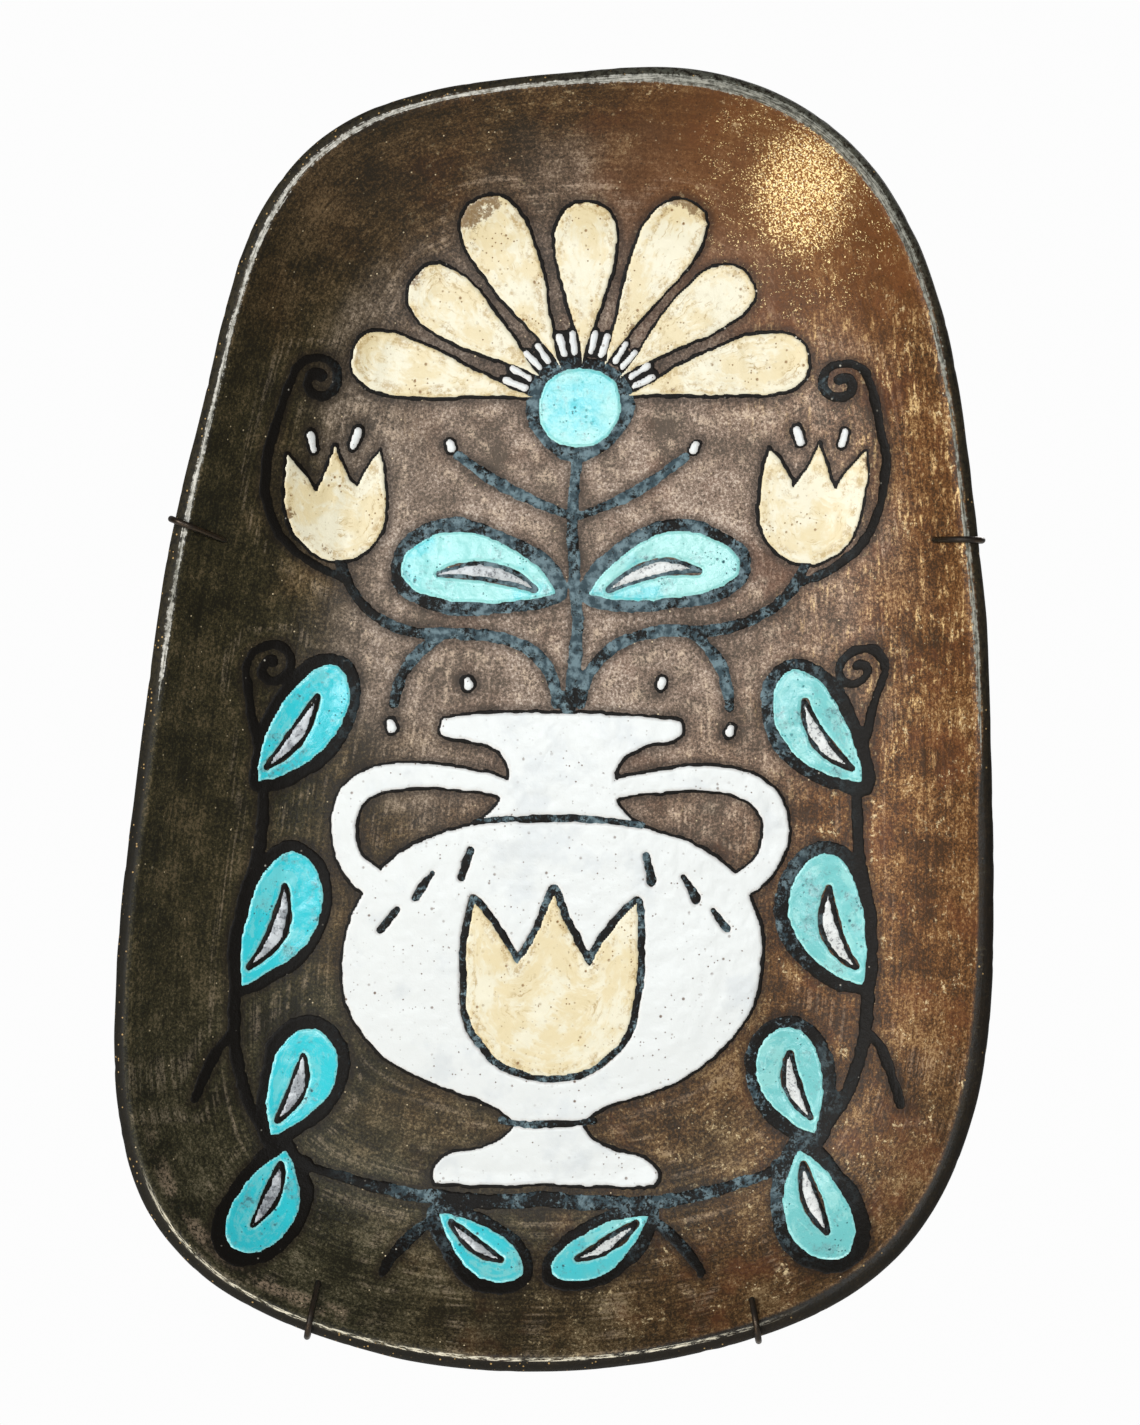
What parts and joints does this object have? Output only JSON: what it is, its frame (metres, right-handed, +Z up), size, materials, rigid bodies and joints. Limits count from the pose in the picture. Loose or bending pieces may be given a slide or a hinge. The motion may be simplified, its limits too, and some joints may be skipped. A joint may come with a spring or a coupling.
{
  "type": "decorative wall plate",
  "caption": "Egg-shaped shallow stoneware dish with a rounded lip and painted glaze, held by wire hooks and springs on a hanger for a wall nail.",
  "frame": {"origin": "the underside of the upper wire's peak, where a nail in the wall carries the plate", "axes": "+Z up along the plate's height, +Y out of its back into the wall, +X to the right seen from the front"},
  "size_m": [0.244, 0.0404, 0.3614],
  "materials": {
    "brown_glaze": "satin dark brown metallic oxide glaze on stoneware, rubbed pale along the lip, with painted glazes fired on it",
    "browned_wire": "browned spring wire with light rust",
    "spring_steel": "dulled closely wound spring steel"
  },
  "bodies": {
    "root": {"plate": "brown_glaze", "hanger_upper_wire": "browned_wire", "hanger_lower_wire": "browned_wire", "spring_left": "spring_steel", "spring_right": "spring_steel"}
  },
  "joints": []
}
